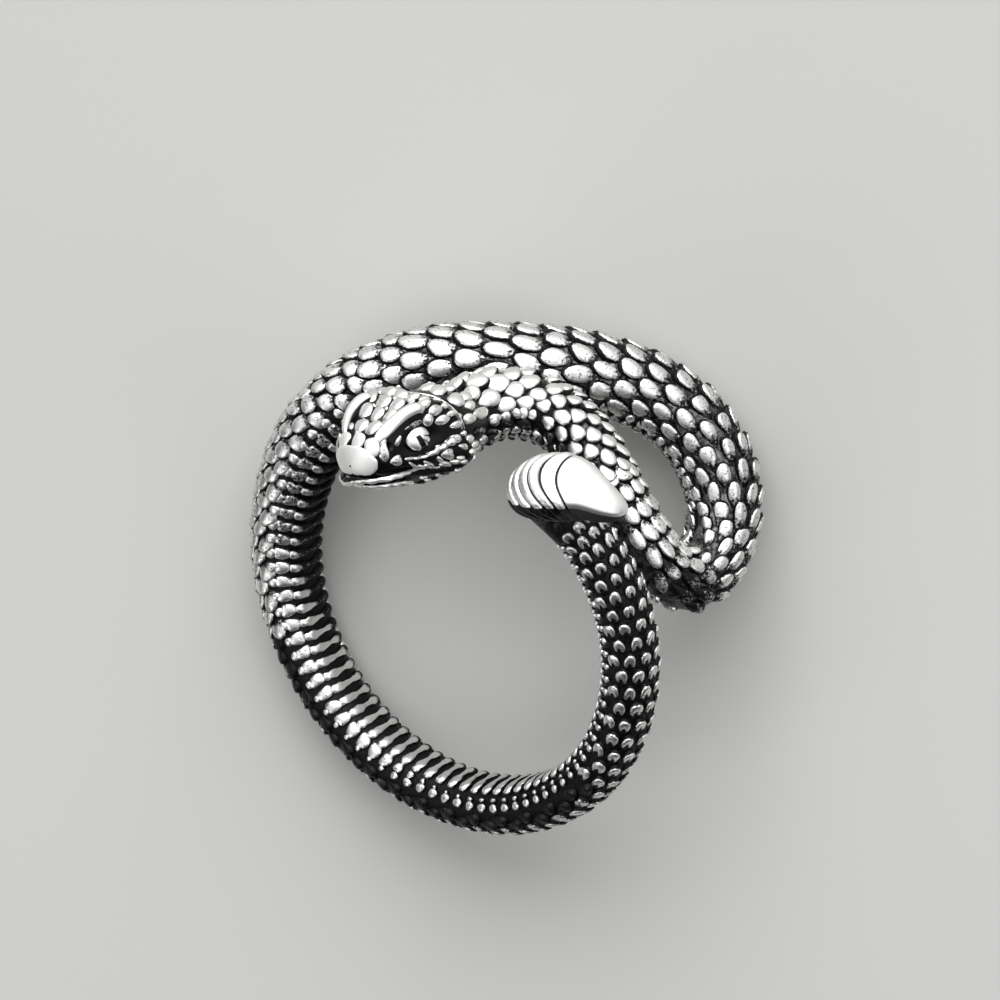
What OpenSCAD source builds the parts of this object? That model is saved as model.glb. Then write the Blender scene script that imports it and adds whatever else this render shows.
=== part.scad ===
// Snake ring: one silver casting of a rattlesnake wound once round the finger.
// The body is swept from the tip of the rattle to the snout. The ring lies on its side, as it
// rests when it is put down.

/* [Ring] */
// Bore that the finger goes through
finger_d = 18.5; // [17:0.1:20]
// How deep the bore is cut into the crests of the belly
ream = 0.08; // [0.04:0.01:0.1]
// Lean of the ring's axis from upright when it rests on its side
rest_lean = 25; // [20:0.5:30]
// Direction that the ring's axis leans to, from the X axis
rest_heading = 28; // [20:1:36]

/* [Body] */
// Radial thickness of the body behind the tail
tail_thick = 2.9; // [2.6:0.1:3.2]
// Radial thickness of the body at its fullest, over the top of the finger
back_thick = 4; // [3.6:0.1:4.2]
// How much wider the body is than it is thick
side_spread = 0.2; // [0:0.05:0.4]
// Radial thickness of the neck
neck_thick = 3.1; // [2.8:0.1:3.2]

/* [Scales] */
// Length of one row of back scales, as a share of the body's width
row_share = 0.38; // [0.37:0.01:0.5]
// Height of a back scale's free edge
scale_h = 0.14; // [0.06:0.01:0.2]
// Height of a belly scute
scute_h = 0.13; // [0.06:0.01:0.18]

/* [Head] */
// Thickness of the head from jaw to crown
head_thick = 4.7; // [4.4:0.1:4.8]
// Width of the head across the jaws
head_w = 4.8; // [4.5:0.1:5]
// Roll of the head towards the side of the tail
head_roll = 10; // [6:1:14]
// Height of the ridge above each eye
brow_h = 0.55; // [0.3:0.05:0.7]
// Depth of the mouth line
mouth_depth = 0.3; // [0.1:0.05:0.35]

/* [Rattle] */
// Thickness of the rattle's last and largest segment
rattle_w = 3.2; // [2.8:0.1:3.4]
// Depth of the grooves between segments
rattle_groove = 0.22; // [0.1:0.02:0.3]

/* [Hidden] */
silver = [0.74, 0.73, 0.71];
bore_r = finger_d / 2;
belly_r = bore_r - ream;

// Columns of a route row. The turn is the angle round the finger, clockwise from the top as
// seen from the head side, the lift raises the belly off the finger, the shift is along
// the finger towards the head side, and the lean turns the back from outwards to forwards.
TURN = 0;
LIFT = 1;
SHIFT = 2;
THICK = 3;
WIDE = 4;
LEAN = 5;

// The rattle and the curl of the tail
rattle_route = [
  [49.8, 5.7, 1.5, 0.8, 0.8, 150],
  [48.4, 4.8, 1.75, rattle_w - 1.1, rattle_w - 0.9, 150],
  [46.2, 4, 2.2, rattle_w - 0.2, rattle_w - 0.1, 150],
  [43.5, 3.4, 2.6, rattle_w - 0.1, rattle_w, 150],
  [40.5, 3.1, 3.1, rattle_w - 0.5, rattle_w - 0.4, 145],
  [37.8, 2.9, 3.6, 2, 2.1, 130],
  [35.6, 2, 3.7, 1.7, 1.8, 100],
  [35.6, 1.1, 2.9, 1.7, 1.8, 65],
  [38.5, 0.5, 2.1, 2.1, 2.2, 30],
  [43.5, 0.15, 1.4, 2.4, 2.5, 12],
  [51, 0, 0.8, 2.6, 2.8, 0],
  [61, 0, 0.6, 2.8, 3, 0]
];

// The plain band under the finger, growing steadily from the tail to the back
band_from = 74;
band_to = 278;
band_step = 17;
band_shift = 0.3;
band_route = [
  for (turn = [band_from : band_step : band_to])
    let (grown = (turn - band_from) / (band_to - band_from))
    let (thick = tail_thick + (back_thick - 0.4 - tail_thick) * pow(grown, 2))
    [turn, 0, band_shift, thick, thick + side_spread, 0]
];

// Over the top of the finger and round the loop behind it
back_w = back_thick + side_spread;
back_route = [
  [294, 0.1, 0.2, back_thick - 0.3, back_w - 0.3, 0],
  [309, 0.45, 0.1, back_thick - 0.2, back_w - 0.2, 0],
  [322, 0.65, -0.7, back_thick - 0.1, back_w - 0.1, 0],
  [335, 0.6, -2.1, back_thick, back_w, 0],
  [348, 0.5, -3.1, back_thick, back_w, 0],
  [360, 0.4, -4.5, back_thick, back_w, 0],
  [372, 0.2, -6.6, back_thick, back_w, 0],
  [386, 0, -8.7, back_thick, back_w, 0],
  [400, 0, -9.5, back_thick, back_w, 0],
  [414, 0, -9.4, back_thick - 0.1, back_w, 0],
  [425, 0, -8.6, back_thick - 0.4, back_w - 0.2, 0],
  [433.5, 0, -7.2, back_thick - 0.7, back_w - 0.4, 0],
  [437, 0, -5.2, back_thick - 1, back_w - 0.5, 0],
  [431.5, 0, -3.4, back_thick - 1.2, back_w - 1, 0]
];

// The neck, and the head that points along the finger
neck_route = [
  [421, 0.05, -2.8, neck_thick - 0.5, neck_thick - 0.3, 0],
  [409, 0.05, -2.6, neck_thick - 0.4, neck_thick - 0.2, 0],
  [397, 0.15, -2.6, neck_thick - 0.2, neck_thick - 0.1, 0],
  [386, 0.4, -2.8, neck_thick, neck_thick + 0.1, 0],
  [377, 0.6, -2.3, neck_thick, neck_thick + 0.1, 0],
  [370, 0.65, -1, neck_thick - 0.1, neck_thick + 0.1, 0],
  [366.8, 0.5, 0.4, neck_thick - 0.1, neck_thick + 0.1, 0],
  [366.2, 0.1, 2.1, head_thick - 1, head_w - 0.5, -head_roll / 2],
  [365.2, 0, 4, head_thick, head_w, -head_roll],
  [363.6, 0.05, 6, head_thick - 0.1, head_w - 0.2, -head_roll],
  [362.6, 0.5, 7.8, head_thick - 1.2, head_w - 1.1, -head_roll],
  [362.2, 0.95, 9.2, head_thick - 2.2, head_w - 2, -head_roll]
];
route = concat(rattle_route, band_route, back_route, neck_route);
last = len(route) - 1;
padded = concat([2 * route[0] - route[1]], route, [2 * route[last] - route[last - 1]]);

// A cubic B-spline through the route: u counts rows
function blend(k, t) = (pow(1 - t, 3) * padded[k] + (3 * pow(t, 3) - 6 * t * t + 4) * padded[k + 1]
  + (-3 * pow(t, 3) + 3 * t * t + 3 * t + 1) * padded[k + 2] + pow(t, 3) * padded[k + 3]) / 6;
function row_at(u) = let (k = min(floor(u), last - 1)) blend(k, u - k);
function centre(row) = let (r = belly_r + row[LIFT] + row[THICK] / 2)
  [r * sin(row[TURN]), r * cos(row[TURN]), row[SHIFT]];
function unit(v) = v / norm(v);

// Distance along the body for each step of u
nudge = 0.02;
u_step = 0.05;
travel = [
  for (u = 0, s = 0, p = centre(row_at(0)); u <= last;
       u = u + u_step, s = s + norm(centre(row_at(min(u, last))) - p), p = centre(row_at(min(u, last))))
    [s, min(u, last)]
];
body_len = travel[len(travel) - 1][0];

function frame_at(u) =
  let (row = row_at(u))
  let (ahead = centre(row_at(min(u + nudge, last))) - centre(row_at(max(u - nudge, 0))))
  let (along = unit(ahead))
  let (outward = [sin(row[TURN]), cos(row[TURN]), 0])
  let (forward = [cos(row[TURN]), -sin(row[TURN]), 0])
  let (leaned = cos(row[LEAN]) * outward + sin(row[LEAN]) * forward)
  let (back = unit(leaned - (leaned * along) * along))
  [centre(row), back, cross(along, back), row];

// Where the regions start and end along the body
rattle_len = 6;
head_len = 8;
body_from = rattle_len;
body_to = body_len - head_len;

// Four rings to each row of scales: the hollow, the free edge, and the same half a row on
phases = [0, 0.12, 0.5, 0.62];
function width_at(s) = row_at(lookup(s, travel))[WIDE];
row_starts = [for (s = body_from; s < body_to; s = s + row_share * width_at(s)) s];
body_rings = [
  for (i = [0 : len(row_starts) - 2])
    for (m = [0 : 3])
      [row_starts[i] + phases[m] * (row_starts[i + 1] - row_starts[i]), m]
];

// Points round a section. Column 0 is the middle of the back, the middle column is the belly.
columns = 18;
half = columns / 2;
belly_reach = 2;
function even_angle(j) = 360 * j / columns;

// On the head the columns gather at the brow, the eye and the lips
head_angles = [0, 20, 42, 57, 76, 94, 109, 124, 142, 180];
function head_angle(j) = j <= half ? head_angles[j] : 360 - head_angles[columns - j];

// Relief on the body, as a share of a scale's height. The belly stays clear of the bore.
back_relief = [-0.4, 0.6, 0.15, -0.05];
side_relief = [-0.6, 0.4, -0.55, 0.4];
belly_relief = [-1, 0, -0.95, 0];
function off_belly(j) = abs(j - half);
function body_relief(j, m) =
  off_belly(j) <= belly_reach ? scute_h * belly_relief[m]
  : off_belly(j) == belly_reach + 1 ? scale_h * side_relief[m]
  : scale_h * back_relief[(m + (j % 2) * 2) % 4];

function section_point(f, angle, rise, size = 1) =
  let (half_thick = f[3][THICK] / 2 + rise)
  let (half_wide = f[3][WIDE] / 2 + rise)
  f[0] + size * (half_thick * cos(angle) * f[1] + half_wide * sin(angle) * f[2]);

function bump(x, mid, reach) = let (d = abs(x - mid) / reach) d >= 1 ? 0 : pow(cos(90 * d), 2);

// The head's ridges, eyes and mouth: h runs from the neck to the snout, side is the angle
// down from the crown
function head_rise(h, side) =
  crown_square * bump(h, 0.55, 0.6) * bump(side, 52, 44)
  + brow_h * bump(h, 0.66, 0.3) * bump(side, 42, 15)
  - crown_dip * bump(h, 0.66, 0.5) * bump(side, 0, 30)
  - socket_depth * bump(h, 0.64, 0.28) * bump(side, 76, 20)
  + (socket_depth + 0.15) * bump(h, 0.66, 0.11) * bump(side, 76, 16)
  - mouth_depth * bump(h, 0.65, 0.5) * bump(side, 124, 13)
  + jaw_swell * bump(h, 0.3, 0.22) * bump(side, 118, 40);
crown_square = 0.25;
crown_dip = 0.2;
socket_depth = 0.45;
jaw_swell = 0.35;
nose_from = 0.86;
nose_reach = 1.01;
function nose(h) = h < nose_from ? 1 : sqrt(1 - pow((h - nose_from) / (nose_reach - nose_from), 2));
head_rings = [for (k = [1 : 13]) k / 15, 0.92, 0.965, 0.99, 1];

// The rattle's segments, from the tip to the tail
rattle_cups = 5;
drop_len = 2.9;
cup_len = (rattle_len - drop_len) / rattle_cups;
drop_rings = [0, 0.12, 0.4, 0.9, 1.5, 2.2];
cup_rings = [
  for (c = [0 : rattle_cups - 1])
    for (part = [[0, -1], [0.2, 0.4], [0.6, 0.1]])
      [drop_len + (c + part[0]) * cup_len, part[1]]
];

function ring_of(s, angles, rises, size = 1) =
  let (f = frame_at(lookup(s, travel)))
  [for (j = [0 : columns - 1]) section_point(f, angles[j], rises[j], size)];
even = [for (j = [0 : columns - 1]) even_angle(j)];
on_head = [for (j = [0 : columns - 1]) head_angle(j)];
level = [for (j = [0 : columns - 1]) 0];
full = [for (j = [0 : columns - 1]) 1];

rings = concat(
  [for (s = drop_rings) ring_of(s, even, level)],
  [for (c = cup_rings) ring_of(c[0], even, rattle_groove * c[1] * full)],
  [for (r = body_rings) ring_of(r[0], even, [for (j = [0 : columns - 1]) body_relief(j, r[1])])],
  [for (h = head_rings)
    let (mixed = min(1, h * 3))
    let (angles = even * (1 - mixed) + on_head * mixed)
    ring_of(body_to + h * head_len, angles, [for (a = angles) head_rise(h, min(a, 360 - a))],
      nose(h))]
);
ring_total = len(rings);
skin = [for (ring = rings) each ring];
sides = [
  for (i = [0 : ring_total - 2])
    for (j = [0 : columns - 1])
      let (a = i * columns + j, b = i * columns + (j + 1) % columns)
      each [[a, b + columns, b], [a, a + columns, b + columns]]
];
tail_end = [for (j = [0 : columns - 1]) j];
snout_end = [for (j = [columns - 1 : -1 : 0]) (ring_total - 1) * columns + j];

// Where the ring's centre goes, so that the middle of the ring's box stands on the origin
function turned(p, a) = [p[0] * cos(a) - p[1] * sin(a), p[0] * sin(a) + p[1] * cos(a), p[2]];
function tipped(p, a) = [p[0] * cos(a) - p[2] * sin(a), p[1], p[0] * sin(a) + p[2] * cos(a)];
lying = [for (p = skin) turned(tipped(turned(p, -rest_heading), rest_lean), rest_heading)];
function low(axis) = min([for (p = lying) p[axis]]);
function high(axis) = max([for (p = lying) p[axis]]);
rest_at = [-(low(0) + high(0)) / 2, -(low(1) + high(1)) / 2, -low(2)];

module at_rest() {
  translate(rest_at)
    rotate([0, 0, rest_heading])
      rotate([0, -rest_lean, 0])
        rotate([0, 0, -rest_heading])
          children();
}

module snake_ring() {
  color(silver)
    at_rest()
      difference() {
        polyhedron(points = skin, faces = concat(sides, [tail_end, snout_end]), convexity = 10);
        translate([0, 0, -finger_d])
          cylinder(r = bore_r, h = 2 * finger_d, $fn = 96);
      }
}

snake_ring();
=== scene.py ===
# A silver snake ring lying on its side: scales, scutes, head and rattle dressed over the frame
import math

import bpy
import numpy as np
from mathutils import Matrix, Vector


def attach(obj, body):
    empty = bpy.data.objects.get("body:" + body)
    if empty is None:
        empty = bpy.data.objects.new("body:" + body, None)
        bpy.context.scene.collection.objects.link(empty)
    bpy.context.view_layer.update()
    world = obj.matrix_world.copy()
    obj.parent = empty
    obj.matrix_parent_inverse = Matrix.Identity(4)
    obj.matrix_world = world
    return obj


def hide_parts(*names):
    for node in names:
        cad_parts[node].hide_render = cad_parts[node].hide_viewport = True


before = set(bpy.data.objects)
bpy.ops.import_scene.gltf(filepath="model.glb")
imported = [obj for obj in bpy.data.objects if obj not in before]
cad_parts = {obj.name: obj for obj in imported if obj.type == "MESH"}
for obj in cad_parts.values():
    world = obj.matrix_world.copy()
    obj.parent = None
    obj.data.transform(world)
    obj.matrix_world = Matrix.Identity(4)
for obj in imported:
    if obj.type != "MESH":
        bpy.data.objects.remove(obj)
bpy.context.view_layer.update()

scene = bpy.context.scene
mm = 0.001
rng = np.random.default_rng(11)

# Ring and how it rests, in mm and degrees
ring = {
    "bore": 9.25,
    "ream": 0.08,
    "lean": 25,
    "heading": 28,
    "rounding": 0.3,
    "restAt": (-0.9713, -1.069, 6.2281),
}
turnZ = Matrix.Rotation(math.radians(ring["heading"]), 3, "Z")
tipY = Matrix.Rotation(math.radians(-ring["lean"]), 3, "Y")
restTurn = np.array(turnZ @ tipY @ turnZ.inverted())
restAt = np.array(ring["restAt"])

# The camera stands where the photographer did, on the ring's own axes before it was laid down
cameraSpot = {"toCamera": (0.539, 0.457, 0.707), "right": (0.795, 0, -0.606), "away": 260, "zoom": 20,
              "across": 1000, "shift": (0.039, 0.105)}
toCamera = Vector(restTurn @ np.array(cameraSpot["toCamera"])).normalized()
cameraRight = Vector(restTurn @ np.array(cameraSpot["right"])).normalized()
cameraUp = toCamera.cross(cameraRight).normalized()
cameraTurn = Matrix((cameraRight, cameraUp, toCamera)).transposed().to_4x4()
cameraTurn.translation = (Vector(ring["restAt"]) + toCamera * cameraSpot["away"]) * mm
lens = bpy.data.cameras.new("tableLens")
lens.sensor_width = 36
lens.lens = lens.sensor_width * cameraSpot["zoom"] * cameraSpot["away"] / cameraSpot["across"]
lens.shift_x, lens.shift_y = cameraSpot["shift"]
lens.clip_start = 0.01
lens.clip_end = 20
tableCamera = bpy.data.objects.new("tableCamera", lens)
tableCamera.matrix_world = cameraTurn
scene.collection.objects.link(tableCamera)
scene.camera = tableCamera
print("camera set")

# The snake's path round the finger
snake = {
    "tailThick": 2.9,
    "backThick": 4.0,
    "spread": 0.2,
    "neckThick": 3.1,
    "headThick": 4.7,
    "headWide": 4.8,
    "headRoll": 10,
    "rattleWide": 3.2,
    "rattleLen": 6,
    "headLen": 8,
}


def pathRows():
    tail, back, neck = snake["tailThick"], snake["backThick"], snake["neckThick"]
    head, jaws, roll, rattle = snake["headThick"], snake["headWide"], snake["headRoll"], snake["rattleWide"]
    wide = back + snake["spread"]
    # turn, lift, shift, thick, wide, lean
    rows = [
        (49.8, 5.7, 1.5, 0.8, 0.8, 150),
        (48.4, 4.8, 1.75, rattle - 1.1, rattle - 0.9, 150),
        (46.2, 4, 2.2, rattle - 0.2, rattle - 0.1, 150),
        (43.5, 3.4, 2.6, rattle - 0.1, rattle, 150),
        (40.5, 3.1, 3.1, rattle - 0.5, rattle - 0.4, 145),
        (37.8, 2.9, 3.6, 2, 2.1, 130),
        (35.6, 2, 3.7, 1.7, 1.8, 100),
        (35.6, 1.1, 2.9, 1.7, 1.8, 65),
        (38.5, 0.5, 2.1, 2.1, 2.2, 30),
        (43.5, 0.15, 1.4, 2.4, 2.5, 12),
        (51, 0, 0.8, 2.6, 2.8, 0),
        (61, 0, 0.6, 2.8, 3, 0),
    ]
    for turn in range(74, 279, 17):
        grown = (turn - 74) / 204
        thick = tail + (back - 0.4 - tail) * grown ** 2
        rows.append((turn, 0, 0.3, thick, thick + snake["spread"], 0))
    rows += [
        (294, 0.1, 0.2, back - 0.3, wide - 0.3, 0),
        (309, 0.45, 0.1, back - 0.2, wide - 0.2, 0),
        (322, 0.65, -0.7, back - 0.1, wide - 0.1, 0),
        (335, 0.6, -2.1, back, wide, 0),
        (348, 0.5, -3.1, back, wide, 0),
        (360, 0.4, -4.5, back, wide, 0),
        (372, 0.2, -6.6, back, wide, 0),
        (386, 0, -8.7, back, wide, 0),
        (400, 0, -9.5, back, wide, 0),
        (414, 0, -9.4, back - 0.1, wide, 0),
        (425, 0, -8.6, back - 0.4, wide - 0.2, 0),
        (433.5, 0, -7.2, back - 0.7, wide - 0.4, 0),
        (437, 0, -5.2, back - 1, wide - 0.5, 0),
        (431.5, 0, -3.4, back - 1.2, wide - 1, 0),
        (421, 0.05, -2.8, neck - 0.5, neck - 0.3, 0),
        (409, 0.05, -2.6, neck - 0.4, neck - 0.2, 0),
        (397, 0.15, -2.6, neck - 0.2, neck - 0.1, 0),
        (386, 0.4, -2.8, neck, neck + 0.1, 0),
        (377, 0.6, -2.3, neck, neck + 0.1, 0),
        (370, 0.65, -1, neck - 0.1, neck + 0.1, 0),
        (366.8, 0.5, 0.4, neck - 0.1, neck + 0.1, 0),
        (366.2, 0.1, 2.1, head - 1, jaws - 0.5, -roll / 2),
        (365.2, 0, 4, head, jaws, -roll),
        (363.6, 0.05, 6, head - 0.1, jaws - 0.2, -roll),
        (362.6, 0.5, 7.8, head - 1.2, jaws - 1.1, -roll),
        (362.2, 0.95, 9.2, head - 2.2, jaws - 2, -roll),
    ]
    return np.array(rows, float)


def smoothPath(rows, steps=80):
    # a cubic B-spline through the rows
    p = np.vstack([2 * rows[0] - rows[1], rows, 2 * rows[-1] - rows[-2]])
    u = np.linspace(0, len(rows) - 1, (len(rows) - 1) * steps + 1)
    k = np.minimum(u.astype(int), len(rows) - 2)
    t = (u - k)[:, None]
    weights = ((1 - t) ** 3, 3 * t ** 3 - 6 * t ** 2 + 4, -3 * t ** 3 + 3 * t ** 2 + 3 * t + 1, t ** 3)
    return sum(w * p[k + n] for n, w in enumerate(weights)) / 6


def unit(v):
    return v / np.linalg.norm(v, axis=-1, keepdims=True)


def squareTo(v, *axes):
    for axis in axes:
        v = v - (v @ axis) * axis
    return unit(v)


def makeSpine():
    rows = smoothPath(pathRows())
    turn, lean = np.radians(rows[:, 0]), np.radians(rows[:, 5])
    reach = ring["bore"] - ring["ream"] + rows[:, 1] + rows[:, 3] / 2
    centre = np.stack([reach * np.sin(turn), reach * np.cos(turn), rows[:, 2]], 1)
    along = unit(np.gradient(centre, axis=0))
    outward = np.stack([np.sin(turn), np.cos(turn), 0 * turn], 1)
    forward = np.stack([np.cos(turn), -np.sin(turn), 0 * turn], 1)
    leaned = np.cos(lean)[:, None] * outward + np.sin(lean)[:, None] * forward
    back = unit(leaned - np.sum(leaned * along, 1, keepdims=True) * along)
    steps = np.linalg.norm(np.diff(centre, axis=0), axis=1)
    travel = np.concatenate([[0], np.cumsum(steps)])
    columns = np.hstack([centre, along, back, np.cross(along, back), rows[:, 3:5] / 2])
    return travel, columns


spineTravel, spineColumns = makeSpine()
bodyLen = float(spineTravel[-1])
headFrom = bodyLen - snake["headLen"]
print("spine laid,", round(bodyLen, 1), "mm")


def spineAt(s):
    s = np.asarray(s, float)
    flat = [np.interp(s, spineTravel, spineColumns[:, n]) for n in range(spineColumns.shape[1])]
    row = np.stack(flat, -1)
    centre = row[..., 0:3] + row[..., 3:6] * np.maximum(s - bodyLen, 0)[..., None]
    return centre, unit(row[..., 3:6]), unit(row[..., 6:9]), unit(row[..., 9:12]), row[..., 12], row[..., 13]


def bump(x, mid, reach):
    d = np.clip(np.abs((x - mid) / reach), 0, 1)
    return np.cos(np.pi / 2 * d) ** 2


def ease(x, low, high):
    t = np.clip((x - low) / (high - low), 0, 1)
    return t * t * (3 - 2 * t)


def circle(columns):
    return (np.arange(columns) * 360 / columns)[None, :]


# Head: h runs from the neck to the snout, side is the angle down from the crown
head = {
    # height, then the middle and reach along h, and the middle and reach down the side
    "forms": (
        (0.25, 0.55, 0.6, 52, 44),  # square cheeks
        (0.3, 0.68, 0.3, 38, 15),  # brow
        (-0.2, 0.66, 0.5, 0, 30),  # dip between the brows
        (-0.42, 0.64, 0.25, 71, 22),  # eye socket
        (0.35, 0.3, 0.22, 118, 40),  # jaw muscle
        (-0.3, 0.85, 0.03, 60, 9),  # nostril
    ),
    "mouth": 0.32,
    "mouthSide": (124, 15, 8),
    "hood": 0.2,
    "collarDip": 0.1,
    "noseFrom": 0.86,
    "noseReach": 1.01,
    "turned": 5,
}


def headAt(h):
    return headFrom + snake["headLen"] * h


def headFold(angle):
    # degrees down from the crown, the same on the near and the far side
    return np.abs((np.asarray(angle, float) - head["turned"] + 180) % 360 - 180) - head["turned"]


def occiput(side):
    # where the crown ends and the neck's scales come out from under it
    side = np.maximum(side, 0)
    return 0.49 - 0.165 * ease(side, 0, 75) - 0.12 * ease(side, 75, 115)


def headRise(h, side):
    rise = 0
    for height, ahead, reach, down, spread in head["forms"]:
        rise = rise + height * bump(h, ahead, reach) * bump(side, down, spread)
    gape = ease(h, 0.2, 0.34) * (1 - ease(h, 0.9, 0.96))
    line, lifted, wide = head["mouthSide"]
    rise = rise - head["mouth"] * gape * bump(side, line - lifted * ease(h, 0.5, 0.85), wide)
    edge = occiput(side)
    hood = ease(h, edge - 0.012, edge + 0.012) * (1 - ease(h, edge + 0.1, edge + 0.3))
    rise = rise + head["hood"] * hood * bump(side, 0, 100)
    return rise - head["collarDip"] * (1 - ease(h, edge - 0.01, edge + 0.01))


def neckSwell(s, angle):
    # the neck fills out against the strand above it
    return 0.4 * bump(s, 103.2, 4) * bump((np.asarray(angle, float) + 180) % 360 - 180, 42, 55)


def nose(h):
    x = (h - head["noseFrom"]) / (head["noseReach"] - head["noseFrom"])
    return np.sqrt(np.clip(1 - np.maximum(x, 0) ** 2, 0, 1))


def skin(s, angle, rise=0.0):
    # a point on the snake, s mm from the tip of the rattle and angle degrees round from the back
    s, angle, rise = np.broadcast_arrays(*[np.asarray(value, float) for value in (s, angle, rise)])
    centre, along, back, side, halfThick, halfWide = spineAt(s)
    h = (s - headFrom) / snake["headLen"]
    fold = headFold(angle)
    swell = np.where(h > -0.05, headRise(h, fold), -0.1 * (h > 0))
    swell = np.where(h > 0.02, swell, swell * ease(h, -0.05, 0.02))
    lift = rise + swell + neckSwell(s, angle)
    a = np.radians(angle)
    q = nose(h)
    across = ((halfThick + lift) * q * np.cos(a))[..., None] * back
    points = centre + across + ((halfWide + lift) * q * np.sin(a))[..., None] * side
    # the bore stays clear for the finger, with rounded edges
    reach = np.maximum(np.hypot(points[..., 0], points[..., 1]), 0.01)
    spare = reach - ring["bore"]
    clear = ring["bore"] + 0.5 * (spare + np.sqrt(spare ** 2 + ring["rounding"] ** 2))
    points[..., :2] *= (clear / reach)[..., None]
    return points


# each point's polish carries the real polish and oxide, and also painted light and shade
def newPile():
    return {"points": [], "faces": [], "polishAndLight": [], "tone": [], "count": 0}


def pour(pile, points, polishAndLight, tone):
    pile["points"].append(points.reshape(-1, 3))
    for label, values in (("polishAndLight", polishAndLight), ("tone", tone)):
        pile[label].append(np.broadcast_to(values, points.shape[:2]).reshape(-1))
    pile["count"] += points.shape[0] * points.shape[1]


def addSheet(pile, points, polishAndLight, tone=0.5, caps=False):
    # closed rings of points, row after row, joined into a tube
    rows, columns = points.shape[:2]
    grid = np.arange(rows * columns).reshape(rows, columns) + pile["count"]
    j = np.arange(columns)
    k = (j + 1) % columns
    for i in range(rows - 1):
        pile["faces"] += np.stack([grid[i, j], grid[i, k], grid[i + 1, k], grid[i + 1, j]], 1).tolist()
    if caps:
        pile["faces"] += [grid[0][::-1].tolist(), grid[-1].tolist()]
    pour(pile, points, polishAndLight, tone)


def addStrip(pile, points, polishAndLight, tone):
    # rows of points joined side by side and left open
    rows, columns = points.shape[:2]
    grid = np.arange(rows * columns).reshape(rows, columns) + pile["count"]
    for i in range(rows - 1):
        corners = (grid[i, :-1], grid[i + 1, :-1], grid[i + 1, 1:], grid[i, 1:])
        pile["faces"] += np.stack(corners, 1).tolist()
    pour(pile, points, polishAndLight, tone)


def addTube(pile, spot, above, wide, high, look):
    # a tube along the spots, wide and high being its half sizes
    across = unit(np.cross(unit(np.gradient(spot, axis=0)), above))
    a = np.radians(circle(look["columns"]))
    points = spot[:, None, :] + (wide[:, None] * np.cos(a))[..., None] * across[:, None, :]
    points = points + (high[:, None] * np.sin(a))[..., None] * above[:, None, :]
    low, steep, top = look["shine"]
    addSheet(pile, points, np.clip(low + steep * np.sin(a), 0, top), look["tone"], caps=True)


def addShields(pile, points, polishAndLight, tone):
    # many small shields at once, each one a centre point and rings round it
    total, size = points.shape[:2]
    spokes = shield["spokes"]
    ringCount = (size - 1) // spokes
    j = np.arange(spokes)
    k = (j + 1) % spokes
    faces = [[0, 1 + a, 1 + b] for a, b in zip(j, k)]
    for r in range(ringCount - 1):
        inner, outer = 1 + r * spokes, 1 + (r + 1) * spokes
        faces += [[inner + a, outer + a, outer + b, inner + b] for a, b in zip(j, k)]
    for n in range(total):
        start = pile["count"] + n * size
        pile["faces"] += [[start + v for v in f] for f in faces]
    pour(pile, points, polishAndLight, tone)


# One shield's plan: rings out from the centre, then its edge and the black lip under it, a painted shadow
# under the free edge
shield = {
    "rings": (0.3, 0.55, 0.73, 0.86, 0.94, 1.0, 1.04, 1.13, 1.16),
    "spokes": 20,
    "edgeDrop": (0, 0, 0, 0.006, 0.03, 0.08, 0.11, 0.13, 0.42),
    "edgeShineAndShadow": (1, 1, 1, 0.95, 0.75, 0.25, 0, 0, 0),
    # what a style leaves out
    "usual": {
        "square": 2, "ragged": 0.05, "taper": 0.25, "flat": 2, "dimple": 0, "oxideAndShade": 0.6, "oxideAndShadeFrom": -0.25,
        "oxideAndShadeTo": 0.85, "under": 0, "underFrom": (50, 92), "shadeUnderLoop": (0, 1, 0, (0, 1)), "shine": 1,
    },
    "hollow": (0.18, 0.42, 0.3),
}


def shieldPlan():
    spokes = shield["spokes"]
    phi = np.arange(spokes) * 2 * np.pi / spokes
    phi = np.concatenate([[0], np.tile(phi, len(shield["rings"]))])
    # the value in the middle, then the one on each ring
    wanted = ((0, "rings"), (0, "edgeDrop"), (1, "edgeShineAndShadow"))
    rho, drop, shine = [np.concatenate([[mid], np.repeat(shield[key], spokes)]) for mid, key in wanted]
    return rho, phi, drop, shine


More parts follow.
